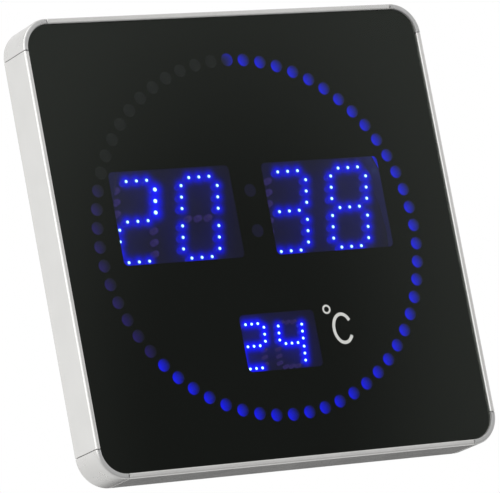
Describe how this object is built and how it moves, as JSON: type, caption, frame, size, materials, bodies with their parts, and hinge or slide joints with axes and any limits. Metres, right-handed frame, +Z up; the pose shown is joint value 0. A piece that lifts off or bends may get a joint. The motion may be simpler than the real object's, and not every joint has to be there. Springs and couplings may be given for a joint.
{
  "type": "led wall clock",
  "caption": "Square radio-controlled LED wall clock with a seconds ring, thermometer, glass front and aluminium frame.",
  "frame": {"origin": "centre of the back face, which lies against the wall", "axes": "+X right and +Z up as seen from the front, +Y into the wall"},
  "size_m": [0.28, 0.0262, 0.28],
  "materials": {
    "satin_aluminium": "satin anodised",
    "silver_corner": "satin silver paint",
    "screw_steel": "zinc plated",
    "clear_glass": "polished",
    "black_print": "black print",
    "foam": "foam tape",
    "circuit_board": "black solder mask",
    "led_lens": "clear epoxy",
    "chip_black": "moulded epoxy",
    "can_metal": "plain",
    "ferrite": "sintered",
    "copper_winding": "enamelled wire",
    "cover_plastic": "fine moulded texture",
    "button_plastic": "smooth moulded",
    "dark_plastic": "moulded",
    "contact_metal": "nickel plated"
  },
  "bodies": {
    "clock": {"antenna_coil": "copper_winding", "antenna_cradles": "dark_plastic", "antenna_rod": "ferrite", "board_screws": "screw_steel", "buffer_capacitor": "can_metal", "cell_contacts": "contact_metal", "coin_cell": "contact_metal", "colon_leds": "led_lens", "control_chip": "chip_black", "corner_bottom_left": "silver_corner", "corner_bottom_right": "silver_corner", "corner_set_screws": "screw_steel", "corner_top_left": "silver_corner", "corner_top_right": "silver_corner", "cover_screws": "screw_steel", "driver_chips": "chip_black", "front_glass": "clear_glass", "glass_gasket": "foam", "key_board": "circuit_board", "key_board_screws": "screw_steel", "light_shield": "dark_plastic", "main_board": "circuit_board", "power_socket": "dark_plastic", "power_socket_pin": "contact_metal", "quartz_crystal": "can_metal", "radio_board": "circuit_board", "radio_chip": "chip_black", "radio_header": "chip_black", "rail_bottom": "satin_aluminium", "rail_left": "satin_aluminium", "rail_right": "satin_aluminium", "rail_top": "satin_aluminium", "rear_cover": "cover_plastic", "second_leds": "led_lens", "tact_switches": "dark_plastic", "temperature_sensor": "dark_plastic", "thermometer_leds": "led_lens", "time_leds": "led_lens", "voltage_regulator": "chip_black", "window_mask": "black_print"},
    "set_key": {"set_button": "button_plastic", "set_plunger": "dark_plastic"},
    "up_key": {"up_button": "button_plastic", "up_plunger": "dark_plastic"},
    "down_key": {"down_button": "button_plastic", "down_plunger": "dark_plastic"},
    "radio_key": {"radio_button": "button_plastic", "radio_plunger": "dark_plastic"},
    "battery_door": {"battery_door": "cover_plastic"}
  },
  "joints": [
    {"name": "set_press", "type": "slide", "parent": "clock", "child": "set_key", "axis": [0, -1, 0], "range_m": [0, 0.0003], "stiffness_N_per_m": 1000},
    {"name": "up_press", "type": "slide", "parent": "clock", "child": "up_key", "axis": [0, -1, 0], "range_m": [0, 0.0003], "stiffness_N_per_m": 1000},
    {"name": "down_press", "type": "slide", "parent": "clock", "child": "down_key", "axis": [0, -1, 0], "range_m": [0, 0.0003], "stiffness_N_per_m": 1000},
    {"name": "radio_press", "type": "slide", "parent": "clock", "child": "radio_key", "axis": [0, -1, 0], "range_m": [0, 0.0003], "stiffness_N_per_m": 1000},
    {"name": "battery_door_hinge", "type": "hinge", "parent": "clock", "child": "battery_door", "pos_m": [-0.115, -0.00125, -0.09025], "axis": [1, 0, 0], "range_deg": [0, 90]}
  ]
}
